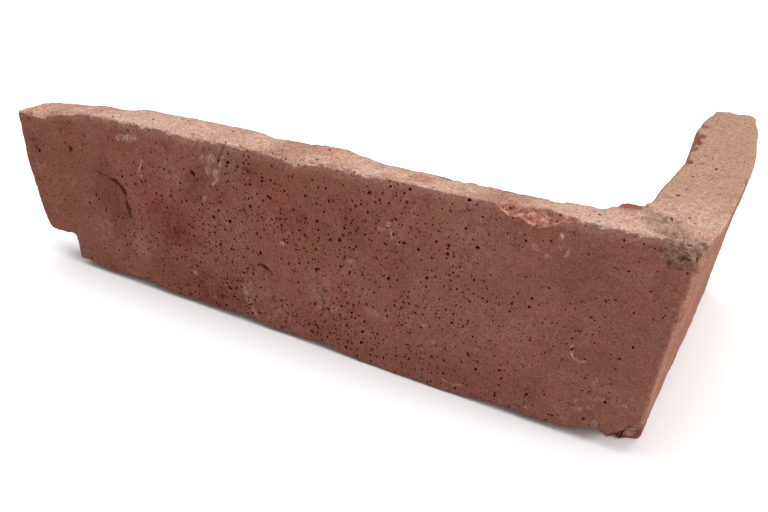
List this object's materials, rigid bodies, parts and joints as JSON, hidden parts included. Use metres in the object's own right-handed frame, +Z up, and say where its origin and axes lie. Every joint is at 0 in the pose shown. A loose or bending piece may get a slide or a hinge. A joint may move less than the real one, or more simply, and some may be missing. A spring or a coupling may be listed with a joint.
{
  "type": "corner brick slip",
  "caption": "L-shaped corner slip sawn from an old clay brick, with a weathered stretcher face, a header face and flat sawn backs.",
  "frame": {"origin": "middle of the footprint's bounding box, on the floor under the lower bed", "axes": "+X along the long leg from its free end to the brick corner, +Y along the short leg from the corner to its free end, +Z up from the lower bed; the stretcher face looks along -Y and the header face along +X"},
  "size_m": [0.25, 0.12, 0.067],
  "materials": {
    "fired_clay": "matte"
  },
  "bodies": {
    "root": {"corner_slip": "fired_clay"}
  },
  "joints": []
}
